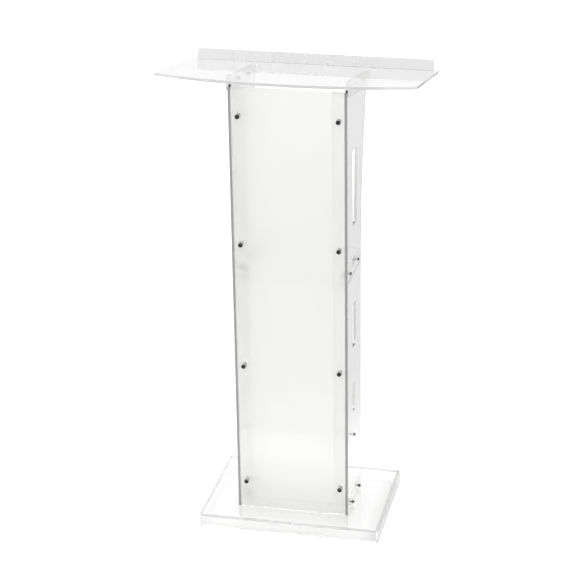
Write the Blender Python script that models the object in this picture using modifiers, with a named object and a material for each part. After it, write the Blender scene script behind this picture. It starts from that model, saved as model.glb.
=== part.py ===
"""Knock-down lectern of 6 mm clear acrylic sheet, modelled sheet by sheet and screw by screw.

Frame: metres, +Z up, +Y towards the speaker, +X to the right of someone who looks along +Y.
The origin is on the floor, under the middle of the whole object.
The audience sees the frosted front panel, which faces -Y.
"""

from math import acos, cos, pi, radians, sin, sqrt

import bmesh
import bpy
from mathutils import Matrix, Vector

# ---- driving dimensions -------------------------------------------------------------------------

SHEET = 0.006  # thickness of every acrylic sheet
GAP = 0.0003  # left between neighbours that touch

BASE_WIDTH = 0.433
BASE_DEPTH = 0.302
BASE_FRONT_Y = -0.1466
SKIRT_HEIGHT = 0.0254
BASE_HEIGHT = SKIRT_HEIGHT + SHEET

COLUMN_FRONT_Y = -0.0908
COLUMN_WIDTH = 0.266  # over the outer faces of the side panels
COLUMN_DEPTH = 0.161
FRONT_HEIGHT = 1.038  # of the front panel, and of the side panels' front edges

FLARE_START = 0.590  # height up the side panel where its rear edge starts to lean back
FLARE_RADIUS = 1.240
NOTCH_DEPTH = 0.013  # cut-out at the top front corner of each side panel

BOARD_TILT = radians(9.45)
BOARD_WIDTH = 0.579
BOARD_FRONT = -0.0281  # front corners, along the slope from above the column's front
BOARD_LENGTH = 0.3184  # straight sides
BOARD_BOW = 0.0833  # how far the curved front edge stands forward of its corners
BOARD_Z = 1.0895  # underside, above the column's front
LIP_LENGTH = 0.557
LIP_HEIGHT = 0.025
LIP_CORNER = 0.005
RAIL_HEIGHT = 0.0275
RAIL_SPAN = (0.0135, 0.238)  # along the slope
RAIL_SCREWS = (0.075, 0.163)  # along the slope
RAIL_SCREW_DROP = 0.0125  # below the board's underside

CLEAT_WIDTH = 0.027
CLEAT_DROP = 0.0045  # from the top of the front panel to the top of each cleat
FRONT_SCREW_X = 0.1129
FRONT_SCREW_INSET = 0.067  # first and last rows, from the ends of the panel
FRONT_SCREW_ROWS = 4

SHELF_TOP = 0.622
SHELF_DEPTH = 0.146
SHELF_LIP = 0.030

# Side panel openings: bottom, top, then front and rear edges at the bottom and at the top.
SLOTS = (
    (0.241, 0.316, 0.067, 0.091, 0.067, 0.091),
    (0.408, 0.517, 0.062, 0.097, 0.062, 0.098),
    (0.708, 0.886, 0.064, 0.105, 0.058, 0.114),
)
SLOT_CORNER = 0.008

BAR_RADIUS = 0.0065
BAR_Y = 0.081
BAR_Z = 0.176

ANGLE_LEG = 0.025  # clear angle brackets
ANGLE_SHEET = 0.004
ANGLE_LENGTH = 0.030
ANGLE_STAGGER = 0.0095  # the two holes of a bracket, to each side of its middle
SHELF_ANGLES_Y = (0.045, 0.1355)
BASE_ANGLES_Y = (0.064, 0.1455)
# Holes of a bracket: up its side leg, and out along its floor leg, from the outside of the corner.
SHELF_ANGLE_HOLES = (0.0150, 0.0125)
BASE_ANGLE_HOLES = (0.0085, 0.0085)

# Screws: radii of shank and head, height of the head, radius and depth of the socket, then the
# nut's radius across its corners and its height.
M6 = (0.0029, 0.00525, 0.0033, 0.0020, 0.0018, 0.00577, 0.0050)
M4 = (0.0019, 0.0038, 0.0022, 0.0012, 0.0011, 0.00404, 0.0032)
M4_LOW = (*M4[:2], 0.0012, M4[3], 0.0009, *M4[5:])
M6_HOLE = 0.0033
M4_HOLE = 0.0023
DOME_SHOULDER = (0.62, 0.85)  # a point on the head's dome, in head radii and head heights
DOME_FOOT = 0.25  # where the dome meets the head's rim, in head heights
THREAD_TAIL = 0.002  # of the screw, beyond its nut
FRONT_SCREW_LENGTH = 0.020
BAR_SCREW_REACH = 0.012  # into the end of the bar
NOTCH_SCREW_LENGTH = 0.013
NOTCH_SCREW_Y = 0.0085  # behind the column's front
NOTCH_SCREW_STAND = 0.0015  # its head stands this far above the panel

# ---- worked out from them -----------------------------------------------------------------------

COLUMN_X = COLUMN_WIDTH / 2  # outer faces of the side panels
INSIDE_X = COLUMN_X - SHEET  # their inner faces
FLOOR_Z = BASE_HEIGHT + GAP  # what the column stands on
CLEAT_BACK = 2 * SHEET + GAP  # from the column's front
SHELF_FRONT = CLEAT_BACK + GAP
SIDES = (("left", -1), ("right", 1))
ENDS = ("front", "rear")

ROUND_STEPS = 10
BAR_STEPS = 16
CORNER_STEPS = 4
FLARE_STEPS = 16
BOW_STEPS = 32
WELD_DISTANCE = 1e-6
POLE_WELD_DISTANCE = 1e-5  # where a turned screw meets its own axis
HEIGHT_TOLERANCE = 1e-7
SMOOTH_ANGLE = radians(35)
FACING_FRONT = Matrix.Rotation(pi / 2, 4, "X")  # an XY drawing stood up, seen from the front
FACING_SIDE = Matrix.Rotation(pi / 2, 4, "Z") @ FACING_FRONT  # the same in the YZ plane

MATERIALS = {
    "clear": ((0.93, 0.95, 0.95, 1), 0.08, 0.0),
    "frosted": ((0.92, 0.93, 0.92, 1), 0.55, 0.0),
    "lip": ((0.86, 0.87, 0.87, 1), 0.20, 0.0),
    "steel": ((0.10, 0.10, 0.11, 1), 0.35, 1.0),
}


def clear_scene():
    for obj in list(bpy.data.objects):
        bpy.data.objects.remove(obj, do_unlink=True)


def make_material(name):
    color, roughness, metallic = MATERIALS[name]
    material = bpy.data.materials.new(name)
    material.use_nodes = True
    shader = material.node_tree.nodes["Principled BSDF"]
    shader.inputs["Base Color"].default_value = color
    shader.inputs["Roughness"].default_value = roughness
    shader.inputs["Metallic"].default_value = metallic
    return material


clear_scene()
MADE = {name: make_material(name) for name in MATERIALS}
LECTERN = bpy.data.collections.new("lectern")
CUTTERS = bpy.data.collections.new("cutters")
for collection in (LECTERN, CUTTERS):
    bpy.context.scene.collection.children.link(collection)

# ---- outlines -----------------------------------------------------------------------------------


def rectangle(low_x, high_x, low_y, high_y):
    return [(low_x, low_y), (high_x, low_y), (high_x, high_y), (low_x, high_y)]


def arc(center, radius, start, end, steps):
    """Points from the angle start to the angle end, both included."""
    turns = [start + (end - start) * step / steps for step in range(steps + 1)]
    return [(center[0] + radius * cos(turn), center[1] + radius * sin(turn)) for turn in turns]


def circle(x, y, radius, steps=ROUND_STEPS):
    return arc((x, y), radius, 0, 2 * pi, steps)[:-1]


def rounded(corners, radii, steps=CORNER_STEPS):
    """A counter-clockwise polygon whose corners are rounded, each by its own radius."""
    outline = []
    for index, corner in enumerate(corners):
        here = Vector(corner)
        before = (Vector(corners[index - 1]) - here).normalized()
        after = (Vector(corners[(index + 1) % len(corners)]) - here).normalized()
        radius = radii[index]
        if radius == 0:
            outline.append(corner)
            continue
        half = acos(max(-1.0, min(1.0, before.dot(after)))) / 2
        center = here + (before + after).normalized() * radius / sin(half)
        first = (here + before * radius * cos(half) / sin(half)) - center
        last = (here + after * radius * cos(half) / sin(half)) - center
        turn = first.angle_signed(last)
        for step in range(steps + 1):
            spun = Matrix.Rotation(-turn * step / steps, 2) @ first
            outline.append(tuple(center + spun))
    return outline


# ---- solids -------------------------------------------------------------------------------------


def flat_sheet(name, outline, holes, thickness, place, material):
    """A flat outline with holes through it, extruded both ways from its own XY plane."""
    curve = bpy.data.curves.new(name, "CURVE")
    curve.dimensions = "2D"
    curve.fill_mode = "BOTH"
    curve.extrude = thickness / 2
    for ring in [outline, *holes]:
        spline = curve.splines.new("POLY")
        spline.points.add(len(ring) - 1)
        for point, (x, y) in zip(spline.points, ring):
            point.co = (x, y, 0, 1)
        spline.use_cyclic_u = True
    curve.materials.append(MADE[material])
    obj = bpy.data.objects.new(name, curve)
    obj.matrix_world = place
    LECTERN.objects.link(obj)
    return obj


def as_mesh(obj):
    """The curve made a mesh of the same name, with its caps welded on, ready to be cut."""
    name = obj.name
    bpy.context.view_layer.update()
    evaluated = obj.evaluated_get(bpy.context.evaluated_depsgraph_get())
    mesh = bpy.data.meshes.new_from_object(evaluated)
    welded = bmesh.new()
    welded.from_mesh(mesh)
    bmesh.ops.remove_doubles(welded, verts=welded.verts, dist=WELD_DISTANCE)
    welded.to_mesh(mesh)
    welded.free()
    place = obj.matrix_world.copy()
    bpy.data.objects.remove(obj, do_unlink=True)
    solid = bpy.data.objects.new(name, mesh)
    solid.matrix_world = place
    LECTERN.objects.link(solid)
    return solid


def drill(obj, radius, depth, center, axis):
    """A round hole of this depth in all, about center, along axis."""
    turn = Vector((0, 0, 1)).rotation_difference(Vector(axis)).to_matrix().to_4x4()
    bpy.ops.mesh.primitive_cylinder_add(vertices=ROUND_STEPS, radius=radius, depth=depth)
    cutter = bpy.context.active_object
    cutter.name = obj.name + "_cutter"
    cutter.matrix_world = obj.matrix_world @ Matrix.Translation(center) @ turn
    cutter.hide_render = True
    cutter.display_type = "WIRE"
    for collection in list(cutter.users_collection):
        collection.objects.unlink(cutter)
    CUTTERS.objects.link(cutter)
    cut = obj.modifiers.new("hole", "BOOLEAN")
    cut.operation = "DIFFERENCE"
    cut.solver = "EXACT"
    cut.object = cutter


def fastener_profile(size, length, grip):
    """Half of a round-headed screw, from the top down: its head bears on Z = 0.

    Where it has a grip, its nut is on it, this far below the head.
    """
    shank, head, height, socket, depth, nut_radius, nut_height = size
    profile = [
        (0, height - depth),
        (socket, height - depth),
        (socket, height),
        (head * DOME_SHOULDER[0], height * DOME_SHOULDER[1]),
        (head, height * DOME_FOOT),
        (head, 0),
        (shank, 0),
    ]
    if grip:
        profile += [(shank, -grip), (nut_radius, -grip)]
        profile += [(nut_radius, -grip - nut_height), (shank, -grip - nut_height)]
    return profile + [(shank, -length), (0, -length)]


def fastener_drawing(name, size, length, grip=None):
    """The profile that every screw of one kind shares."""
    drawing = bpy.data.meshes.new(name)
    points = [(radius, 0, height) for radius, height in fastener_profile(size, length, grip)]
    drawing.from_pydata(points, [(i, i + 1) for i in range(len(points) - 1)], [])
    drawing.materials.append(MADE["steel"])
    return drawing


def fastener(name, drawing, place):
    """One screw, turned from its drawing about its own Z."""
    obj = bpy.data.objects.new(name, drawing)
    obj.matrix_world = place
    LECTERN.objects.link(obj)
    turn = obj.modifiers.new("turn", "SCREW")
    turn.axis = "Z"
    turn.angle = 2 * pi
    turn.steps = turn.render_steps = ROUND_STEPS
    turn.use_merge_vertices = True
    turn.merge_threshold = POLE_WELD_DISTANCE
    turn.use_smooth_shade = True


def facing(x, y, z, axis):
    """A place whose own +Z points along axis."""
    turn = Vector((0, 0, 1)).rotation_difference(Vector(axis)).to_matrix().to_4x4()
    return Matrix.Translation((x, y, z)) @ turn


# ---- the base -----------------------------------------------------------------------------------

FRONT_SKIRT_Y = BASE_FRONT_Y + SHEET / 2
REAR_SKIRT_Y = BASE_FRONT_Y + BASE_DEPTH - SHEET / 2
PLATE_X = BASE_WIDTH / 2 - SHEET - GAP


def floor_screw_spots(rows, angle_holes):
    """Where the floor screws of one story's brackets stand."""
    x = INSIDE_X - GAP - angle_holes[1]
    return [(sign * x, COLUMN_FRONT_Y + y + ANGLE_STAGGER) for _, sign in SIDES for y in rows]


def build_base():
    plate = rectangle(-PLATE_X, PLATE_X, BASE_FRONT_Y, BASE_FRONT_Y + BASE_DEPTH)
    spots = floor_screw_spots(BASE_ANGLES_Y, BASE_ANGLE_HOLES)
    holes = [circle(x, y, M4_HOLE) for x, y in spots]
    middle = Matrix.Translation((0, 0, BASE_HEIGHT - SHEET / 2))
    flat_sheet("base_plate", plate, holes, SHEET, middle, "clear")

    strip = rectangle(-PLATE_X, PLATE_X, 0, SKIRT_HEIGHT - GAP)
    for end, y in zip(ENDS, (FRONT_SKIRT_Y, REAR_SKIRT_Y)):
        place = Matrix.Translation((0, y, 0)) @ FACING_FRONT
        flat_sheet(f"base_skirt_{end}", strip, [], SHEET, place, "clear")

    strip = rectangle(BASE_FRONT_Y, BASE_FRONT_Y + BASE_DEPTH, 0, BASE_HEIGHT)
    for side, sign in SIDES:
        place = Matrix.Translation((sign * (BASE_WIDTH - SHEET) / 2, 0, 0)) @ FACING_SIDE
        flat_sheet(f"base_skirt_{side}", strip, [], SHEET, place, "clear")


# ---- the column ---------------------------------------------------------------------------------


def board_point(along, above=0.0):
    """Side panel coordinates of a point on the board: along its slope, above its underside."""
    y = along * cos(BOARD_TILT) + above * sin(BOARD_TILT)
    z = BOARD_Z - FLOOR_Z - along * sin(BOARD_TILT) + above * cos(BOARD_TILT)
    return y, z


def underside(y):
    """Height of the board's underside above the column's floor."""
    return BOARD_Z - FLOOR_Z - y * sin(BOARD_TILT) / cos(BOARD_TILT)


def flare(z):
    """Rear edge of the side panel at this height."""
    rise = max(0.0, z - FLARE_START)
    return COLUMN_DEPTH + FLARE_RADIUS - sqrt(FLARE_RADIUS**2 - rise**2)


def flare_top():
    """Height at which the rear edge meets the board's underside, found by stepping to it."""
    top = underside(COLUMN_DEPTH) - GAP
    while abs(underside(flare(top)) - GAP - top) > HEIGHT_TOLERANCE:
        top = underside(flare(top)) - GAP
    return top


def side_outline():
    rise = flare_top() - FLARE_START
    heights = [FLARE_START + rise * step / FLARE_STEPS for step in range(FLARE_STEPS + 1)]
    rear = [(flare(z), z) for z in heights]
    return [
        (0, 0),
        (COLUMN_DEPTH, 0),
        *rear,
        (NOTCH_DEPTH, underside(NOTCH_DEPTH) - GAP),
        (NOTCH_DEPTH, FRONT_HEIGHT),
        (0, FRONT_HEIGHT),
    ]


def slot_outline(bottom, top, front_low, rear_low, front_high, rear_high):
    corners = [(front_low, bottom), (rear_low, bottom), (rear_high, top), (front_high, top)]
    return rounded(corners, [SLOT_CORNER] * 4)


def side_screw_holes():
    """(y, z) of every screw through a side panel, in the panel's own coordinates."""
    shelf_z = SHELF_TOP + GAP + SHELF_ANGLE_HOLES[0] - FLOOR_Z
    shelf = [(y - ANGLE_STAGGER, shelf_z) for y in SHELF_ANGLES_Y]
    base = [(y - ANGLE_STAGGER, BASE_ANGLE_HOLES[0]) for y in BASE_ANGLES_Y]
    rail = [board_point(along, -RAIL_SCREW_DROP) for along in RAIL_SCREWS]
    return [*shelf, *base, *rail, (BAR_Y, BAR_Z)]


def build_side_panels():
    holes = [circle(y, z, M4_HOLE) for y, z in side_screw_holes()]
    holes += [slot_outline(*slot) for slot in SLOTS]
    for side, sign in SIDES:
        corner = Matrix.Translation((sign * (COLUMN_X - SHEET / 2), COLUMN_FRONT_Y, FLOOR_Z))
        place = corner @ FACING_SIDE
        flat = flat_sheet(f"side_panel_{side}", side_outline(), holes, SHEET, place, "clear")
        panel = as_mesh(flat)
        mouth = (NOTCH_SCREW_Y, FRONT_HEIGHT, 0)
        reach = NOTCH_SCREW_LENGTH - NOTCH_SCREW_STAND + GAP
        drill(panel, M4[0] + GAP, 2 * reach, mouth, (0, 1, 0))


def front_screw_heights():
    span = FRONT_HEIGHT - 2 * FRONT_SCREW_INSET
    steps = FRONT_SCREW_ROWS - 1
    return [FRONT_SCREW_INSET + span * row / steps for row in range(FRONT_SCREW_ROWS)]


def build_front():
    half = INSIDE_X - GAP
    heights = front_screw_heights()
    holes = [circle(sign * FRONT_SCREW_X, z, M6_HOLE) for _, sign in SIDES for z in heights]
    panel = rectangle(-half, half, 0, FRONT_HEIGHT)
    place = Matrix.Translation((0, COLUMN_FRONT_Y + SHEET / 2, FLOOR_Z)) @ FACING_FRONT
    flat_sheet("front_panel", panel, holes, SHEET, place, "frosted")

    place = Matrix.Translation((0, COLUMN_FRONT_Y + CLEAT_BACK - SHEET / 2, FLOOR_Z)) @ FACING_FRONT
    for side, sign in SIDES:
        edges = sorted((sign * half, sign * (half - CLEAT_WIDTH)))
        holes = [circle(sign * FRONT_SCREW_X, z, M6_HOLE) for z in heights]
        strip = rectangle(*edges, 0, FRONT_HEIGHT - CLEAT_DROP)
        flat_sheet(f"front_cleat_{side}", strip, holes, SHEET, place, "clear")


def build_front_screws():
    grip = CLEAT_BACK + 2 * GAP
    drawing = fastener_drawing("front_screw", M6, FRONT_SCREW_LENGTH, grip)
    for side, sign in SIDES:
        for row, height in enumerate(front_screw_heights(), 1):
            spot = (sign * FRONT_SCREW_X, COLUMN_FRONT_Y - GAP, FLOOR_Z + height)
            fastener(f"front_screw_{side}_{row}", drawing, facing(*spot, (0, -1, 0)))


# ---- the shelf ----------------------------------------------------------------------------------


def build_shelf():
    half = INSIDE_X - GAP
    front = COLUMN_FRONT_Y + SHELF_FRONT
    board = rectangle(-half, half, front, front + SHELF_DEPTH)
    spots = floor_screw_spots(SHELF_ANGLES_Y, SHELF_ANGLE_HOLES)
    holes = [circle(x, y, M4_HOLE) for x, y in spots]
    place = Matrix.Translation((0, 0, SHELF_TOP - SHEET / 2))
    flat_sheet("shelf", board, holes, SHEET, place, "clear")

    strip = rectangle(-half, half, 0, SHELF_LIP)
    back = front + SHELF_DEPTH - SHEET / 2
    place = Matrix.Translation((0, back, SHELF_TOP + GAP)) @ FACING_FRONT
    flat_sheet("shelf_lip", strip, [], SHEET, place, "clear")


# ---- angle brackets -----------------------------------------------------------------------------


def build_angle(name, sign, middle_y, floor_z, holes):
    """A clear angle in the corner between a side panel's inner face and a floor."""
    leg = ANGLE_LEG
    corner_x = INSIDE_X - GAP
    section = [(0, 0), (leg, 0), (leg, leg), (leg - ANGLE_SHEET, leg), (leg - ANGLE_SHEET, ANGLE_SHEET)]
    section.append((0, ANGLE_SHEET))
    outline = [(x - leg, z) for x, z in section]
    if sign < 0:
        outline = [(-x, z) for x, z in reversed(outline)]
    place = Matrix.Translation((sign * corner_x, middle_y, floor_z + GAP)) @ FACING_FRONT
    angle = as_mesh(flat_sheet(name, outline, [], ANGLE_LENGTH, place, "clear"))
    up, out = holes
    through = 4 * ANGLE_SHEET
    # The drawing's own Z points to the front, so a hole nearer the front has a positive Z.
    drill(angle, M4_HOLE, through, (0, up, ANGLE_STAGGER), (1, 0, 0))
    drill(angle, M4_HOLE, through, (-sign * out, 0, -ANGLE_STAGGER), (0, 1, 0))


def build_angles():
    """The brackets of the shelf and of the base, each with its two screws."""
    inner = INSIDE_X - GAP - ANGLE_SHEET - GAP  # the bracket's face inside the column
    outer = COLUMN_X + GAP
    grip = outer - inner
    drawing = fastener_drawing("angle_screw", M4, grip + M4[-1] + THREAD_TAIL, grip)
    stories = (
        ("shelf", SHELF_TOP, SHELF_ANGLES_Y, SHELF_ANGLE_HOLES),
        ("base", BASE_HEIGHT, BASE_ANGLES_Y, BASE_ANGLE_HOLES),
    )
    for story, floor, rows, holes in stories:
        for side, sign in SIDES:
            for end, row in zip(ENDS, rows):
                y = COLUMN_FRONT_Y + row
                build_angle(f"{story}_bracket_{end}_{side}", sign, y, floor, holes)
                z = floor + GAP + holes[0]
                # The shelf's screws have their heads outside the column, the base's have them inside.
                place = facing(sign * outer, y - ANGLE_STAGGER, z, (sign, 0, 0))
                if story == "base":
                    place = facing(sign * inner, y - ANGLE_STAGGER, z, (-sign, 0, 0))
                fastener(f"{story}_side_screw_{end}_{side}", drawing, place)
                x = sign * (INSIDE_X - GAP - holes[1])
                above = floor + 2 * GAP + ANGLE_SHEET
                place = facing(x, y + ANGLE_STAGGER, above, (0, 0, 1))
                fastener(f"{story}_floor_screw_{end}_{side}", drawing, place)


# ---- the cross bar ------------------------------------------------------------------------------


def build_cross_bar():
    y = COLUMN_FRONT_Y + BAR_Y
    z = FLOOR_Z + BAR_Z
    length = 2 * (INSIDE_X - GAP)
    bpy.ops.mesh.primitive_cylinder_add(vertices=BAR_STEPS, radius=BAR_RADIUS, depth=length)
    bar = bpy.context.active_object
    bar.name = "cross_bar"
    bar.data.materials.append(MADE["clear"])
    bar.data.shade_smooth()
    bar.data.set_sharp_from_angle(angle=SMOOTH_ANGLE)
    for collection in list(bar.users_collection):
        collection.objects.unlink(bar)
    LECTERN.objects.link(bar)
    bar.matrix_world = facing(0, y, z, (1, 0, 0))
    for _, sign in SIDES:
        mouth = (0, 0, sign * length / 2)
        drill(bar, M4_HOLE, 2 * (BAR_SCREW_REACH + GAP), mouth, (0, 0, 1))
    drawing = fastener_drawing("cross_bar_screw", M4, SHEET + BAR_SCREW_REACH)
    for side, sign in SIDES:
        place = facing(sign * (COLUMN_X + GAP), y, z, (sign, 0, 0))
        fastener(f"cross_bar_screw_{side}", drawing, place)


# ---- the reading board --------------------------------------------------------------------------


def build_board():
    tilt = Matrix.Translation((0, COLUMN_FRONT_Y, BOARD_Z)) @ Matrix.Rotation(-BOARD_TILT, 4, "X")
    half = BOARD_WIDTH / 2
    rear = BOARD_FRONT + BOARD_LENGTH
    radius = (half**2 + BOARD_BOW**2) / (2 * BOARD_BOW)
    reach = pi / 2 - acos(half / radius)
    center = (0, BOARD_FRONT - BOARD_BOW + radius)
    bow = arc(center, radius, -pi / 2 - reach, -pi / 2 + reach, BOW_STEPS)
    outline = [*bow, (half, rear), (-half, rear)]
    place = tilt @ Matrix.Translation((0, 0, SHEET / 2 + GAP))
    flat_sheet("reading_board", outline, [], SHEET, place, "clear")

    strip = rectangle(-LIP_LENGTH / 2, LIP_LENGTH / 2, 0, LIP_HEIGHT)
    lip = rounded(strip, [0, 0, LIP_CORNER, LIP_CORNER])
    foot = Matrix.Translation((0, rear - SHEET / 2, SHEET + 2 * GAP))
    flat_sheet("book_lip", lip, [], SHEET, tilt @ foot @ FACING_FRONT, "lip")

    holes = [circle(along, -RAIL_SCREW_DROP, M4_HOLE) for along in RAIL_SCREWS]
    rail = rectangle(*RAIL_SPAN, -RAIL_HEIGHT, 0)
    for side, sign in SIDES:
        outside = Matrix.Translation((sign * (COLUMN_X + GAP + SHEET / 2), 0, 0))
        flat_sheet(f"board_rail_{side}", rail, holes, SHEET, tilt @ outside @ FACING_SIDE, "clear")

    outer = COLUMN_X + SHEET + 2 * GAP
    grip = outer - INSIDE_X + GAP
    drawing = fastener_drawing("rail_screw", M4, grip + M4[-1] + THREAD_TAIL, grip)
    for side, sign in SIDES:
        for end, along in zip(ENDS, RAIL_SCREWS):
            place = tilt @ facing(sign * outer, along, -RAIL_SCREW_DROP, (sign, 0, 0))
            fastener(f"rail_screw_{end}_{side}", drawing, place)


def build_notch_screws():
    """Low-headed screws that stand in the top edge of each side panel, in its notch."""
    drawing = fastener_drawing("notch_screw", M4_LOW, NOTCH_SCREW_LENGTH)
    y = COLUMN_FRONT_Y + NOTCH_SCREW_Y
    z = FLOOR_Z + FRONT_HEIGHT + NOTCH_SCREW_STAND
    for side, sign in SIDES:
        place = facing(sign * (COLUMN_X - SHEET / 2), y, z, (0, 0, 1))
        fastener(f"notch_screw_{side}", drawing, place)


build_base()
build_side_panels()
build_front()
build_front_screws()
build_shelf()
build_angles()
build_cross_bar()
build_board()
build_notch_screws()
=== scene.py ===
"""Looks of the knock-down acrylic lectern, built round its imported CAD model.

Metres, in the CAD model's frame: +Z up, -Y towards the audience, +X to the right of someone who
looks along +Y. Every sheet is traced from its CAD node and gets fine rounded edges. Every fastener
becomes a socket button-head screw, with a hexagon nut where it goes right through. The brackets
are moulded angles with drilled holes, and the bar is tapped at both ends.
"""

from collections import namedtuple
from math import ceil, cos, hypot, pi, radians, sin, tan

import bmesh
import bpy
from mathutils import Matrix, Vector
from mathutils.geometry import tessellate_polygon


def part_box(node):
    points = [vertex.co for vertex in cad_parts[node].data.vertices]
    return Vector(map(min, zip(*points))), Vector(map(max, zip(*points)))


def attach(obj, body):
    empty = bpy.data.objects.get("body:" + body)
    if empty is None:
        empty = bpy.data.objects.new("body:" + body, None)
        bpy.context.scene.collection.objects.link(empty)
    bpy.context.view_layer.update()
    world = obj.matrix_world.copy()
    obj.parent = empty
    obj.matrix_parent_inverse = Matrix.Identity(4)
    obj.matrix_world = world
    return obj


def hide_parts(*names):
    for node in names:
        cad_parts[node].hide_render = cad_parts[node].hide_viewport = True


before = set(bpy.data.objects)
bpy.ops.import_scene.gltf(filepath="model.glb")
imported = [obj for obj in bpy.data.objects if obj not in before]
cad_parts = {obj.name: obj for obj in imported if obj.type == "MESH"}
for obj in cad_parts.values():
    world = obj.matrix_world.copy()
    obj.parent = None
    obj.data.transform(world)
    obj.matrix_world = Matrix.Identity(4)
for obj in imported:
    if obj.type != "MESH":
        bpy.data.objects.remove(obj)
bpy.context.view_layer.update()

# ---- sizes --------------------------------------------------------------------------------------

FRONT = (0, -1, 0)
REAR = (0, 1, 0)
UP = (0, 0, 1)

MERGE_WITHIN = 1e-6
FLAT_WITHIN = 1e-5  # a face this near the widest face's plane belongs to it
SAME_WAY = 0.9999  # and its normal's share of the widest face's normal is more than this
STEEP = 0.5  # sine of a sheet's lean from level, above which it is traced along its level lines
EDGE_ROUND = 0.0004  # radius along every sheet's edges
EDGE_STEPS = 3
HOLE_STEPS = 32
HOLE_LIMIT = 0.005  # a traced loop with a smaller radius may be a round hole
ROUND_WITHIN = 0.0001  # the most that a round hole's radius varies
FACING_LIMIT = 0.9  # a face looks along an axis when its normal's share of it is more than this
SMOOTH_ANGLE = radians(35)

# Button-head screws: radii of shank and head, height of the head, flats and depth of the socket,
# pitch and depth of the thread, then the nut's width over flats and its height.
Screw = namedtuple("Screw", "shank head top flats socket pitch groove nut_flats nut_height")
M6 = Screw(0.0029, 0.00525, 0.0033, 0.0040, 0.0020, 0.0010, 0.00050, 0.0100, 0.0050)
M4 = Screw(0.0019, 0.00380, 0.0022, 0.0025, 0.0013, 0.0007, 0.00035, 0.0070, 0.0032)
M4_LOW = M4._replace(top=0.0012, socket=0.0009)  # with a flatter head
HEAD_ARRIS = 0.0002
HEAD_FOOT = 0.2  # of the head's height: its upright rim, and the shank's plain ends
HEAD_LAND = 1.30  # width of the flat ring round the socket, over the socket's flats
SOCKET_MOUTH = 1.06  # the socket's bevelled mouth, over its flats
THREAD_STEPS = 4  # rings for each pitch of the thread
TURN_STEPS = 24  # a multiple of six, so that hexagons keep their corners
DOME_STEPS = 6

NUT_TAIL = 0.0020  # of the thread, past the nut
NUT_CLEARANCE = 0.0001
NUT_LEAD = 0.0003  # bevel at the mouths of a nut's bore
NUT_WASHER = 0.95  # the round face, over the flats
NUT_CORNER = 0.97  # the chamfered corners' reach, over the full corners'
NUT_SHOULDER = 0.06  # of the flats, below the chamfer
NUT_CHAMFER = radians(30)

BRACKET_SHEET = 0.004
BRACKET_FILLET = 0.001
FILLET_STEPS = 4
BRACKET_STAGGER = 0.0095  # its two holes, to each side of its middle
BRACKET_BORE = 0.0023
DRILL_LENGTH = 0.016
# Holes of a bracket: up its side leg, and out along its floor leg, from the outside of the corner.
SHELF_BRACKET_HOLES = (0.0150, 0.0125)
BASE_BRACKET_HOLES = (0.0085, 0.0085)

BAR_BORE = 0.0022
BAR_BORE_DEPTH = 0.0125
BAR_BORE_TIP = 0.0015
BAR_BORE_LEAD = 0.0004
BAR_ARRIS = 0.0005
BAR_ARRIS_MIDDLE = 0.00015  # how far that arris's middle stands in from both faces

# How unpolished a sheet's edges are along an axis, which also sets their painted shade: the
# furthest of them, then the others.
SIDE_SAWN_AND_SHADE = (1.0, 0.35)
CLEAT_SAWN_AND_SHADE = (0.3, 0.0)
BASE_SAWN_AND_SHADE = (0.55, 0.55)
BOARD_SAWN_AND_SHADE = (0.42, 0.42)
ETCHED = (1.0, 0.0)

# ---- node helpers -------------------------------------------------------------------------------

MIX_INPUTS = (0, 6, 7)  # a colour mix node's factor and its two colours
MIX_RESULT = 2


class Nodes:
    """A material's node tree, with short calls to add and join nodes."""

    def __init__(self, tree):
        self.tree = tree
        tree.nodes.clear()

    def add(self, kind, settings=None, **inputs):
        node = self.tree.nodes.new(kind)
        for name, value in (settings or {}).items():
            setattr(node, name, value)
        for name, value in inputs.items():
            self.put(node, name.replace("_", " "), value)
        return node

    def put(self, node, socket, value):
        """Joins another node's output to the socket, or gives the socket a plain value."""
        target = node.inputs[socket]
        if isinstance(value, bpy.types.NodeSocket):
            self.tree.links.new(value, target)
        else:
            target.default_value = value

    def noise(self, scale, detail):
        """Noise in the object's own space, in features per metre."""
        place = self.add("ShaderNodeTexCoord").outputs["Object"]
        texture = self.add("ShaderNodeTexNoise", Vector=place, Scale=scale, Detail=detail)
        return texture.outputs["Fac"]

    def between(self, value, low, high, first=0.0, last=1.0):
        """value, brought from the range first..last to the range low..high."""
        node = self.add("ShaderNodeMapRange", Value=value)
        ends = {"From Min": first, "From Max": last, "To Min": low, "To Max": high}
        for socket, number in ends.items():
            self.put(node, socket, number)
        return node.outputs["Result"]

    def shade(self, factor, first, second):
        """A colour from first to second, by factor."""
        node = self.add("ShaderNodeMix", {"data_type": "RGBA"})
        for index, value in zip(MIX_INPUTS, (factor, first, second)):
            self.put(node, index, value)
        return node.outputs[MIX_RESULT]

    def math(self, operation, first, second):
        node = self.add("ShaderNodeMath", {"operation": operation})
        self.put(node, 0, first)
        self.put(node, 1, second)
        return node.outputs[0]

    def bump(self, height, strength, distance):
        node = self.add("ShaderNodeBump", Strength=strength, Distance=distance, Height=height)
        return node.outputs["Normal"]

    def mask(self, name):
        """A mesh's own mask: rim on cut edges, the unpolished edges' mask, which also brings
        painted shade, frost on an etched face.
        """
        return self.add("ShaderNodeAttribute", {"attribute_name": name}).outputs["Fac"]

    def finish(self, shader, volume=None, shadow=None):
        """Joins the shader to the output, with clear shadows where a shadow colour is given."""
        out = self.add("ShaderNodeOutputMaterial")
        surface = shader.outputs[0]
        if shadow:
            clear = self.add("ShaderNodeBsdfTransparent", Color=shadow)
            rays = self.add("ShaderNodeLightPath")
            mix = self.add("ShaderNodeMixShader")
            inputs = (rays.outputs["Is Shadow Ray"], surface, clear.outputs[0])
            for index, value in enumerate(inputs):
                self.put(mix, index, value)
            surface = mix.outputs[0]
        self.put(out, "Surface", surface)
        if volume:
            self.put(out, "Volume", volume.outputs[0])


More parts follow.
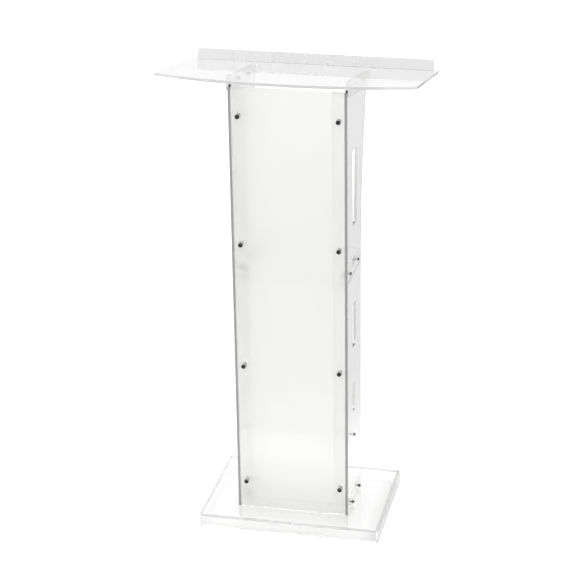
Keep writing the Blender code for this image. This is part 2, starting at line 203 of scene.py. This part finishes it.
def new_material(name):
    material = bpy.data.materials.new(name)
    material.use_nodes = True
    return material, Nodes(material.node_tree)


# ---- materials ----------------------------------------------------------------------------------

ACRYLIC_IOR = 1.49
ABSORB_COLOR = (0.50, 0.53, 0.52, 1)
ABSORB_DENSITY = 0.8

FACE_TINT = (0.965, 0.965, 0.962, 1)
# Painted shade: every edge a little darker than the faces.
RIM_PAINTED_SHADE = (0.93, 0.932, 0.93, 1)
# Painted shade: the dark grey of unpolished edges.
SAWN_EDGE_PAINTED_SHADE = (0.30, 0.30, 0.30, 1)
SMEAR_ROUGH = 0.035
RIM_ROUGH = 0.05
SAWN_ROUGH = 0.40
SAWN_CLARITY = 0.10  # the light that still passes an edge left as sawn
FACE_GRAIN = 0.01
RIM_GRAIN = 0.12
CLEAR_SHADOW = (1, 1, 1, 1)

FROST_TINTS = ((0.895, 0.895, 0.885, 1), (0.910, 0.910, 0.900, 1))
FROST_ROUGH = (0.40, 0.46)
FROST_FACE_ROUGH = 0.04
FROST_CLARITY = 0.85
FROST_GRAIN = 0.02
FROST_SHADOW = (0.93, 0.935, 0.93, 1)

LIP_TINTS = ((0.84, 0.84, 0.84, 1), (0.88, 0.88, 0.88, 1))
LIP_ROUGH = (0.22, 0.30)
LIP_CLARITY = 0.35
LIP_GRAIN = 0.01
LIP_SHADOW = (0.90, 0.90, 0.90, 1)

STEEL_TINTS = ((0.035, 0.036, 0.040, 1), (0.075, 0.076, 0.080, 1))
STEEL_ROUGH = (0.28, 0.44)
STEEL_GRAIN = 0.12


def clear_acrylic():
    """Polished sheet: faint smears on its faces, wiped edges in painted shade, a few unpolished
    ones in darker painted shade.
    """
    material, n = new_material("clear_acrylic")
    smears = n.noise(scale=9.0, detail=4.0)
    grain = n.noise(scale=1400.0, detail=2.0)
    rim = n.mask("rim")
    sawn = n.mask("sawn")
    smeared = n.between(smears, 0.0, SMEAR_ROUGH, first=0.45, last=0.75)
    rough = n.math("ADD", smeared, n.between(rim, 0.0, RIM_ROUGH))
    rough = n.math("ADD", rough, n.between(sawn, 0.0, SAWN_ROUGH))
    # Painted shade: rims darker than the faces, and unpolished edges dark grey, over the sheet's
    # own tint.
    base_colour = n.shade(sawn, n.shade(rim, FACE_TINT, RIM_PAINTED_SHADE), SAWN_EDGE_PAINTED_SHADE)
    shader = n.add("ShaderNodeBsdfPrincipled", Base_Color=base_colour, Roughness=rough, IOR=ACRYLIC_IOR)
    n.put(shader, "Transmission Weight", n.between(sawn, 1.0, SAWN_CLARITY))
    strength = n.between(rim, FACE_GRAIN, RIM_GRAIN)
    n.put(shader, "Normal", n.bump(grain, strength, distance=0.0002))
    volume = n.add("ShaderNodeVolumeAbsorption", Color=ABSORB_COLOR, Density=ABSORB_DENSITY)
    n.finish(shader, volume, CLEAR_SHADOW)
    return material


def frosted_acrylic():
    """Sheet whose rear face is etched: a fine even grain that blurs what stands behind it."""
    material, n = new_material("frosted_acrylic")
    clouds = n.noise(scale=5.0, detail=3.0)
    grain = n.noise(scale=2600.0, detail=2.0)
    frost = n.mask("frost")
    etched = n.math("MULTIPLY", n.between(clouds, *FROST_ROUGH, first=0.3, last=0.7), frost)
    base_colour = n.shade(clouds, *FROST_TINTS)
    shader = n.add("ShaderNodeBsdfPrincipled", Base_Color=base_colour, IOR=ACRYLIC_IOR)
    n.put(shader, "Roughness", n.math("ADD", etched, FROST_FACE_ROUGH))
    n.put(shader, "Transmission Weight", FROST_CLARITY)
    strength = n.between(frost, FACE_GRAIN, FROST_GRAIN)
    n.put(shader, "Normal", n.bump(grain, strength, distance=0.0001))
    volume = n.add("ShaderNodeVolumeAbsorption", Color=ABSORB_COLOR, Density=ABSORB_DENSITY)
    n.finish(shader, volume, FROST_SHADOW)
    return material


def lip_acrylic():
    """Satin strip along the rear of the board, a little greyer than the sheets."""
    material, n = new_material("lip_acrylic")
    clouds = n.noise(scale=14.0, detail=3.0)
    grain = n.noise(scale=2200.0, detail=2.0)
    rough = n.between(clouds, *LIP_ROUGH, first=0.3, last=0.7)
    base_colour = n.shade(clouds, *LIP_TINTS)
    shader = n.add("ShaderNodeBsdfPrincipled", Base_Color=base_colour, Roughness=rough, IOR=ACRYLIC_IOR)
    n.put(shader, "Transmission Weight", LIP_CLARITY)
    n.put(shader, "Normal", n.bump(grain, LIP_GRAIN, distance=0.0002))
    n.finish(shader, shadow=LIP_SHADOW)
    return material


def dark_steel():
    """Dark plated steel: a mottled film that is thinner and rougher in places."""
    material, n = new_material("dark_steel")
    film = n.noise(scale=420.0, detail=4.0)
    grain = n.noise(scale=5200.0, detail=2.0)
    base_colour = n.shade(n.between(film, 0, 1, first=0.35, last=0.65), *STEEL_TINTS)
    rough = n.between(film, *STEEL_ROUGH, first=0.35, last=0.65)
    shader = n.add("ShaderNodeBsdfPrincipled", Base_Color=base_colour, Roughness=rough, Metallic=1.0)
    n.put(shader, "Normal", n.bump(grain, STEEL_GRAIN, distance=0.0001))
    n.finish(shader)
    return material


CLEAR = clear_acrylic()
FROSTED = frosted_acrylic()
LIP = lip_acrylic()
STEEL = dark_steel()

# ---- mesh helpers -------------------------------------------------------------------------------


def place_piece(name, mesh, material, replaced=()):
    """A piece that rides on the lectern, and stands for the CAD nodes in replaced."""
    mesh.materials.clear()
    mesh.materials.append(material)
    piece = bpy.data.objects.new(name, mesh)
    bpy.context.scene.collection.objects.link(piece)
    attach(piece, "root")
    if replaced:
        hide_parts(*replaced)


def finished_mesh(bm, name):
    """The closed surface as a mesh, faces pointing out, smooth but on a sheet's flat faces."""
    bmesh.ops.recalc_face_normals(bm, faces=bm.faces)
    mesh = bpy.data.meshes.new(name)
    bm.to_mesh(mesh)
    bm.free()
    rim = mesh.attributes.get("rim")
    mesh.set_sharp_from_angle(angle=SMOOTH_ANGLE)
    for index, polygon in enumerate(mesh.polygons):
        polygon.use_smooth = rim is None or rim.data[index].value > 0.5
    return mesh


def loft(rings, name, closed=False):
    """Rings skinned in order, and the last to the first where closed; a pole has one point."""
    bm = bmesh.new()
    made = [[bm.verts.new(point) for point in ring] for ring in rings]
    after = made[1:] + made[:1] if closed else made[1:]
    for upper, lower in zip(made, after):
        count = max(len(upper), len(lower))
        for i in range(count):
            j = (i + 1) % count
            corners = [upper[i % len(upper)], upper[j % len(upper)]]
            corners += [lower[j % len(lower)], lower[i % len(lower)]]
            bm.faces.new(list(dict.fromkeys(corners)))
    return finished_mesh(bm, name)


# ---- sheets -------------------------------------------------------------------------------------


def trace_sheet(node):
    """The sheet's largest flat face: its place, the loops round it and its holes, its thickness."""
    bm = bmesh.new()
    bm.from_mesh(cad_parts[node].data)
    bmesh.ops.remove_doubles(bm, verts=bm.verts, dist=MERGE_WITHIN)
    widest = max(bm.faces, key=lambda face: face.calc_area())
    out = widest.normal.copy()
    start = widest.verts[0].co.copy()

    def height(vert):
        return (vert.co - start).dot(out)

    flat = [
        face
        for face in bm.faces
        if face.normal.dot(out) > SAME_WAY and abs(height(face.verts[0])) < FLAT_WITHIN
    ]
    following = {}
    for face in flat:
        for corner in face.loops:
            if any(other not in flat for other in corner.edge.link_faces):
                following[corner.vert] = corner.link_loop_next.vert
    across = Vector(UP).cross(out)
    across = across.normalized() if across.length > STEEP else Vector((1, 0, 0))
    along = out.cross(across)
    loops = []
    while following:
        vert, after = following.popitem()
        loop = [vert]
        while after in following:
            loop.append(after)
            after = following.pop(after)
        loops.append([((v.co - start).dot(across), (v.co - start).dot(along)) for v in loop])
    thickness = max(-height(vert) for vert in bm.verts)
    bm.free()
    place = Matrix((across, along, out)).transposed().to_4x4()
    place.translation = start
    return place, [smooth_hole(loop) for loop in loops], thickness


def smooth_hole(loop):
    """The loop itself, or a finer circle where it is a small round hole."""
    x = sum(point[0] for point in loop) / len(loop)
    y = sum(point[1] for point in loop) / len(loop)
    radii = [hypot(point[0] - x, point[1] - y) for point in loop]
    if max(radii) > HOLE_LIMIT or max(radii) - min(radii) > ROUND_WITHIN:
        return loop
    turns = [-2 * pi * step / HOLE_STEPS for step in range(HOLE_STEPS)]
    return [(x + radii[0] * cos(turn), y + radii[0] * sin(turn)) for turn in turns]


def inset(loop, distance):
    """The loop moved towards the material, which lies on its left."""
    moved = []
    for index, here in enumerate(loop):
        here = Vector(here)
        before = (here - Vector(loop[index - 1])).normalized()
        after = (Vector(loop[(index + 1) % len(loop)]) - here).normalized()
        left_before = Vector((-before.y, before.x))
        left_after = Vector((-after.y, after.x))
        corner = (left_before + left_after) / (1 + left_before.dot(left_after))
        moved.append(here + corner * distance)
    return moved


def edge_section(thickness):
    """(inset, depth) down the edge of a sheet whose two arrises are rounded."""
    turns = [pi / 2 * step / EDGE_STEPS for step in range(EDGE_STEPS + 1)]
    upper = [(EDGE_ROUND * (1 - sin(turn)), EDGE_ROUND * (1 - cos(turn))) for turn in turns]
    lower = [(step, thickness - depth) for step, depth in reversed(upper)]
    return upper + lower


def mark(mesh, name, axis, values):
    """A mask on faces that look along axis: the first value on the furthest, else the second."""
    axis = Vector(axis)
    furthest = max(vert.co.dot(axis) for vert in mesh.vertices)
    layer = mesh.attributes.new(name, "FLOAT", "FACE")
    for face in mesh.polygons:
        if face.normal.dot(axis) > FACING_LIMIT:
            at_end = furthest - face.center.dot(axis) < EDGE_ROUND
            layer.data[face.index].value = values[0] if at_end else values[1]


def slab(loops, thickness, name):
    """A closed slab below its own XY plane, with the loops as its outline and holes."""
    bm = bmesh.new()
    rim = bm.faces.layers.float.new("rim")
    caps = ([], [])
    for loop in loops:
        rings = [
            [bm.verts.new((x, y, -depth)) for x, y in inset(loop, distance)]
            for distance, depth in edge_section(thickness)
        ]
        for upper, lower in zip(rings, rings[1:]):
            for i in range(len(loop)):
                j = (i + 1) % len(loop)
                bm.faces.new((upper[j], upper[i], lower[i], lower[j]))[rim] = 1.0
        caps[0].append(rings[0])
        caps[1].append(rings[-1])
    for cap in caps:
        verts = [vert for ring in cap for vert in ring]
        for triangle in tessellate_polygon([[vert.co for vert in ring] for ring in cap]):
            bm.faces.new([verts[i] for i in triangle])
    return finished_mesh(bm, name)


def sheet_piece(node, material, slot, **masks):
    """The node's sheet, with masks given by name as an axis and two values: see mark."""
    place, loops, thickness = trace_sheet(node)
    mesh = slab(loops, thickness, node)
    mesh.transform(place)
    for name, where in masks.items():
        mark(mesh, name, *where)
    place_piece(f"{node}_sheet", mesh, material, [node])


# ---- fasteners ----------------------------------------------------------------------------------


def circle_ring(radius, height):
    turns = [2 * pi * step / TURN_STEPS for step in range(TURN_STEPS)]
    return [(radius * cos(turn), radius * sin(turn), height) for turn in turns]


def hexagon_ring(flats, height, most=None):
    """A hexagon by its width over flats, cut to a circle of radius most where that is smaller."""
    ring = []
    for step in range(TURN_STEPS):
        turn = 2 * pi * step / TURN_STEPS
        off_flat = (turn % (pi / 3)) - pi / 6
        radius = flats / 2 / cos(off_flat)
        if most:
            radius = min(radius, most)
        ring.append((radius * cos(turn), radius * sin(turn), height))
    return ring


def thread_rings(size, top, bottom):
    """A vee thread between two heights: the crest climbs one pitch each turn."""
    rings = []
    count = ceil((top - bottom) / size.pitch * THREAD_STEPS)
    for index in range(count + 1):
        height = top + (bottom - top) * index / count
        ring = []
        for step in range(TURN_STEPS):
            share = step / TURN_STEPS
            phase = (height / size.pitch - share) % 1.0
            radius = size.shank - size.groove * (1 - abs(2 * phase - 1))
            turn = 2 * pi * share
            ring.append((radius * cos(turn), radius * sin(turn), height))
        rings.append(ring)
    return rings


def screw_mesh(name, size, length):
    """A button-head screw: its head bears on Z = 0 and its shank hangs below."""
    foot = size.top * HEAD_FOOT
    land = size.flats / 2 * HEAD_LAND
    rings = [
        [(0, 0, size.top - size.socket - HEAD_ARRIS)],
        hexagon_ring(size.flats, size.top - size.socket),
        hexagon_ring(size.flats, size.top - HEAD_ARRIS),
        hexagon_ring(size.flats * SOCKET_MOUTH, size.top),
        circle_ring(land, size.top),
    ]
    for step in range(1, DOME_STEPS + 1):
        turn = pi / 2 * step / DOME_STEPS
        radius = land + (size.head - land) * sin(turn)
        rings.append(circle_ring(radius, foot + (size.top - foot) * cos(turn)))
    rings += [circle_ring(size.head, HEAD_ARRIS), circle_ring(size.head - HEAD_ARRIS, 0)]
    rings += [circle_ring(size.shank, 0), circle_ring(size.shank, -foot)]
    rings += thread_rings(size, -foot - HEAD_ARRIS, foot + HEAD_ARRIS - length)
    rings += [circle_ring(size.shank - size.groove, -length), [(0, 0, -length)]]
    return loft(rings, name)


def nut_mesh(name, size):
    """A hexagon nut that stands on Z = 0, both its faces chamfered."""
    flats, height = size.nut_flats, size.nut_height
    corner = flats / 2 / cos(pi / 6)
    bore = size.shank + NUT_CLEARANCE
    drop = (corner - flats / 2) * tan(NUT_CHAMFER)
    shoulder = drop + flats * NUT_SHOULDER
    washer = flats / 2 * NUT_WASHER
    rings = [
        circle_ring(bore + NUT_LEAD, 0),
        circle_ring(washer, 0),
        hexagon_ring(flats, drop, corner * NUT_CORNER),
        hexagon_ring(flats, shoulder),
        hexagon_ring(flats, height - shoulder),
        hexagon_ring(flats, height - drop, corner * NUT_CORNER),
        circle_ring(washer, height),
        circle_ring(bore + NUT_LEAD, height),
        circle_ring(bore, height - NUT_LEAD),
        circle_ring(bore, NUT_LEAD),
    ]
    return loft(rings, name, closed=True)


def facing(spot, axis):
    """The place at a spot that turns +Z along axis."""
    turn = Vector(UP).rotation_difference(Vector(axis)).to_matrix().to_4x4()
    return Matrix.Translation(spot) @ turn


def screw_piece(node, axis, size=M4, nut=True):
    """The screw of a CAD node whose head points along axis, and its nut where it has one."""
    low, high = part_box(node)
    axis = Vector(axis)
    reach = abs((high - low).dot(axis)) / 2
    length = 2 * reach - size.top
    bearing = (low + high) / 2 + axis * (reach - size.top)
    mesh = screw_mesh(node, size, length)
    mesh.transform(facing(bearing, axis))
    place_piece(f"{node}_bolt", mesh, STEEL, [node])
    if nut:
        mesh = nut_mesh(node, size)
        mesh.transform(facing(bearing - axis * (length - NUT_TAIL), axis))
        place_piece(node.replace("screw", "nut"), mesh, STEEL)


# ---- brackets and bar ---------------------------------------------------------------------------


def bracket_section(leg):
    """An angle's section, its floor leg on X from 0 to leg and its side leg up from there."""
    fillet = []
    for step in range(FILLET_STEPS, -1, -1):
        turn = pi / 2 * step / FILLET_STEPS
        inward = BRACKET_FILLET * (1 - sin(turn))
        upward = BRACKET_FILLET * (1 - cos(turn))
        fillet.append((leg - BRACKET_SHEET - inward, BRACKET_SHEET + upward))
    side = [(leg, 0), (leg, leg), (leg - BRACKET_SHEET, leg)]
    return [(0, 0), *side, *fillet, (0, BRACKET_SHEET)]


def bracket_piece(node, sign, holes):
    """A moulded clear angle: a fillet in its corner and one screw hole in each leg."""
    low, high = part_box(node)
    leg = high.z - low.z
    outline = [(sign * (x - leg), z) for x, z in bracket_section(leg)]
    if sign < 0:
        outline.reverse()
    mesh = slab([outline], high.y - low.y, node)
    corner_x = high.x if sign > 0 else low.x
    front = Vector((corner_x, low.y, low.z))
    mesh.transform(Matrix.Translation(front) @ Matrix.Rotation(pi / 2, 4, "X"))
    middle = (low.y + high.y) / 2
    up, out = holes
    drilled = drill(mesh, [
        ((corner_x, middle - BRACKET_STAGGER, low.z + up), (1, 0, 0)),
        ((corner_x - sign * out, middle + BRACKET_STAGGER, low.z), UP),
    ])
    place_piece(f"{node}_angle", drilled, CLEAR, [node])


def drill(mesh, holes):
    """The mesh with round holes through it, each about a spot and along an axis."""
    body = bpy.data.objects.new("drilled", mesh)
    bpy.context.scene.collection.objects.link(body)
    cutters = []
    for spot, axis in holes:
        bm = bmesh.new()
        size = {"radius1": BRACKET_BORE, "radius2": BRACKET_BORE, "depth": DRILL_LENGTH}
        bmesh.ops.create_cone(bm, cap_ends=True, segments=HOLE_STEPS, **size)
        cutter = bpy.data.objects.new("cutter", bpy.data.meshes.new("cutter"))
        bm.to_mesh(cutter.data)
        bm.free()
        cutter.matrix_world = facing(spot, axis)
        bpy.context.scene.collection.objects.link(cutter)
        cut = body.modifiers.new("hole", "BOOLEAN")
        cut.operation = "DIFFERENCE"
        cut.solver = "EXACT"
        cut.object = cutter
        cutters.append(cutter)
    bpy.context.view_layer.update()
    evaluated = body.evaluated_get(bpy.context.evaluated_depsgraph_get())
    drilled = bpy.data.meshes.new_from_object(evaluated)
    for temporary in [body, *cutters]:
        bpy.data.objects.remove(temporary, do_unlink=True)
    return drilled


def bar_piece(node):
    """The round clear bar, its ends rounded off, with a blind hole for a screw in each."""
    low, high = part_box(node)
    radius = (high.z - low.z) / 2
    half = (high.x - low.x) / 2
    bottom = half - BAR_BORE_DEPTH
    end = [
        [(0, 0, bottom - BAR_BORE_TIP)],
        circle_ring(BAR_BORE, bottom),
        circle_ring(BAR_BORE, half - BAR_BORE_LEAD),
        circle_ring(BAR_BORE + BAR_BORE_LEAD, half),
        circle_ring(radius - BAR_ARRIS, half),
        circle_ring(radius - BAR_ARRIS_MIDDLE, half - BAR_ARRIS_MIDDLE),
        circle_ring(radius, half - BAR_ARRIS),
    ]
    other = [[(x, y, -z) for x, y, z in ring] for ring in reversed(end)]
    mesh = loft(end + other, node)
    mesh.transform(facing((low + high) / 2, (1, 0, 0)))
    place_piece(f"{node}_rod", mesh, CLEAR, [node])


# ---- the lectern --------------------------------------------------------------------------------

SIDES = (("left", -1), ("right", 1))
ENDS = ("front", "rear")
FRONT_SCREW_ROWS = (1, 2, 3, 4)
PLAIN_SHEETS = (
    "base_skirt_front",
    "base_skirt_rear",
    "base_skirt_left",
    "base_skirt_right",
    "shelf",
    "shelf_lip",
    "board_rail_left",
    "board_rail_right",
)


def build_lectern():
    for node in PLAIN_SHEETS:
        sheet_piece(node, CLEAR, "clear_acrylic")
    for side, sign in SIDES:
        inward = (-sign, 0, 0)
        sheet_piece(f"side_panel_{side}", CLEAR, "clear_acrylic", sawn=(FRONT, SIDE_SAWN_AND_SHADE))
        sheet_piece(f"front_cleat_{side}", CLEAR, "clear_acrylic", sawn=(inward, CLEAT_SAWN_AND_SHADE))
    sheet_piece("base_plate", CLEAR, "clear_acrylic", sawn=(FRONT, BASE_SAWN_AND_SHADE))
    sheet_piece("reading_board", CLEAR, "clear_acrylic", sawn=(FRONT, BOARD_SAWN_AND_SHADE))
    sheet_piece("front_panel", FROSTED, "frosted_acrylic", frost=(REAR, ETCHED))
    sheet_piece("book_lip", LIP, "lip_acrylic")
    bar_piece("cross_bar")
    for side, sign in SIDES:
        outward, inward = (sign, 0, 0), (-sign, 0, 0)
        for row in FRONT_SCREW_ROWS:
            screw_piece(f"front_screw_{side}_{row}", FRONT, M6)
        for end in ENDS:
            bracket_piece(f"shelf_bracket_{end}_{side}", sign, SHELF_BRACKET_HOLES)
            bracket_piece(f"base_bracket_{end}_{side}", sign, BASE_BRACKET_HOLES)
            screw_piece(f"shelf_side_screw_{end}_{side}", outward)
            screw_piece(f"base_side_screw_{end}_{side}", inward)
            screw_piece(f"shelf_floor_screw_{end}_{side}", UP)
            screw_piece(f"base_floor_screw_{end}_{side}", UP)
            screw_piece(f"rail_screw_{end}_{side}", outward)
        screw_piece(f"cross_bar_screw_{side}", outward, nut=False)
        screw_piece(f"notch_screw_{side}", UP, M4_LOW, nut=False)


# ---- stage, light and camera --------------------------------------------------------------------

FLOOR_SIZE = 60.0
FLOOR_DROP = 0.0005  # below the lectern's feet, so that the two faces never coincide
FLOOR_WHITE = (0.96, 0.96, 0.96, 1)
# The floor as the acrylic shows it: a painted pool of light that greys with distance, and painted
# shade off to the right.
FLOOR_REACH = 4.0
FLOOR_PAINTED_POOL = ((0.20, 0.96), (0.55, 0.71), (2.35, 0.67), (2.90, 0.73))
# Painted shade on the floor to the right: its grey, then where along X it fades in.
FLOOR_PAINTED_SHADE = (0.50, 0.50, 0.50, 1)
PAINTED_SHADE_FROM = 0.17
PAINTED_SHADE_TO = 0.27
FLOOR_ROUGH = 0.9
FLOOR_SHINE = 0.1

# Two heights on the unit sphere of directions, and the room's level at each of them.
ROOM_HEIGHTS = (0.05, 0.5)
ROOM_LEVELS = (0.88, 1.40)
SOFTBOX_PLACE = Vector((-1.6, -1.2, 3.6))
SOFTBOX_TARGET = Vector((0, 0, 0.5))
SOFTBOX_SIZE = 3.0
SOFTBOX_WATTS = 12.0

CAMERA_PLACE = (0.861, -3.780, 2.184)
CAMERA_AZIMUTH = radians(11.13)
CAMERA_ELEVATION = radians(22.63)
CAMERA_ROLL = radians(-0.09)
CAMERA_LENS = 113.4  # millimetres, on a sensor as wide as the next value
CAMERA_SENSOR = 36.0
CAMERA_SHIFT = -0.105
CAMERA_NEAR = 0.05
CAMERA_FAR = 200.0


def floor_with_painted_light():
    """White to the camera; to every other ray, which the acrylic shows, a painted pool of light and
    painted shade.
    """
    material, n = new_material("floor_with_painted_light")
    place = n.add("ShaderNodeTexCoord").outputs["Object"]
    away = n.add("ShaderNodeVectorMath", {"operation": "LENGTH"}, Vector=place)
    axes = n.add("ShaderNodeSeparateXYZ", Vector=place)
    # Painted pool of light: bright round the middle, greying with distance.
    share = n.between(away.outputs["Value"], 0, 1, first=0, last=FLOOR_REACH)
    ramp = n.add("ShaderNodeValToRGB", Fac=share)
    stops = ramp.color_ramp.elements
    for index, (distance, grey) in enumerate(FLOOR_PAINTED_POOL):
        position = distance / FLOOR_REACH
        stop = stops[index] if index < 2 else stops.new(position)  # a new ramp has two stops
        stop.position = position
        stop.color = (grey, grey, grey, 1)
    # Painted shade off to the right, mixed over the painted pool of light.
    painted_shade = n.between(axes.outputs["X"], 0, 1, first=PAINTED_SHADE_FROM, last=PAINTED_SHADE_TO)
    painted_pool_and_shade = n.shade(painted_shade, ramp.outputs["Color"], FLOOR_PAINTED_SHADE)
    rays = n.add("ShaderNodeLightPath")
    color = n.shade(rays.outputs["Is Camera Ray"], painted_pool_and_shade, FLOOR_WHITE)
    shader = n.add("ShaderNodeBsdfPrincipled", Base_Color=color, Roughness=FLOOR_ROUGH)
    n.put(shader, "Specular IOR Level", FLOOR_SHINE)
    n.finish(shader)
    return material


def build_stage():
    bm = bmesh.new()
    bmesh.ops.create_grid(bm, x_segments=1, y_segments=1, size=FLOOR_SIZE / 2)
    mesh = bpy.data.meshes.new("floor")
    bm.to_mesh(mesh)
    bm.free()
    mesh.materials.append(floor_with_painted_light())
    floor = bpy.data.objects.new("floor", mesh)
    floor.location.z = -FLOOR_DROP
    bpy.context.scene.collection.objects.link(floor)


def build_light():
    """A white room that is brighter overhead, and one soft lamp."""
    world = bpy.data.worlds.new("studio")
    bpy.context.scene.world = world
    world.use_nodes = True
    n = Nodes(world.node_tree)
    place = n.add("ShaderNodeTexCoord").outputs["Generated"]
    axes = n.add("ShaderNodeSeparateXYZ", Vector=place)
    level = n.between(axes.outputs["Z"], *ROOM_LEVELS, *ROOM_HEIGHTS)
    light = n.add("ShaderNodeBackground", Color=(1, 1, 1, 1), Strength=level)
    n.add("ShaderNodeOutputWorld", Surface=light.outputs[0])

    lamp = bpy.data.lights.new("softbox", "AREA")
    lamp.shape = "DISK"
    lamp.size = SOFTBOX_SIZE
    lamp.energy = SOFTBOX_WATTS
    softbox = bpy.data.objects.new("softbox", lamp)
    softbox.location = SOFTBOX_PLACE
    softbox.rotation_mode = "QUATERNION"
    aim = SOFTBOX_TARGET - SOFTBOX_PLACE
    softbox.rotation_quaternion = aim.to_track_quat("-Z", "Y")
    bpy.context.scene.collection.objects.link(softbox)


def build_camera():
    camera = bpy.data.cameras.new("camera")
    camera.lens = CAMERA_LENS
    camera.sensor_width = CAMERA_SENSOR
    camera.shift_x = CAMERA_SHIFT
    camera.clip_start = CAMERA_NEAR
    camera.clip_end = CAMERA_FAR
    eye = bpy.data.objects.new("camera", camera)
    turn = Matrix.Rotation(CAMERA_AZIMUTH, 4, "Z")
    turn = turn @ Matrix.Rotation(pi / 2 - CAMERA_ELEVATION, 4, "X")
    turn = turn @ Matrix.Rotation(CAMERA_ROLL, 4, "Z")
    eye.matrix_world = Matrix.Translation(CAMERA_PLACE) @ turn
    bpy.context.scene.collection.objects.link(eye)
    bpy.context.scene.camera = eye


def set_picture():
    """Plain colour, and enough bounces for light to travel inside the sheets."""
    scene = bpy.context.scene
    scene.view_settings.view_transform = "Standard"
    scene.cycles.max_bounces = 64
    scene.cycles.glossy_bounces = 48
    scene.cycles.transmission_bounces = 48
    scene.cycles.transparent_max_bounces = 32


build_camera()
build_stage()
build_light()
build_lectern()
set_picture()
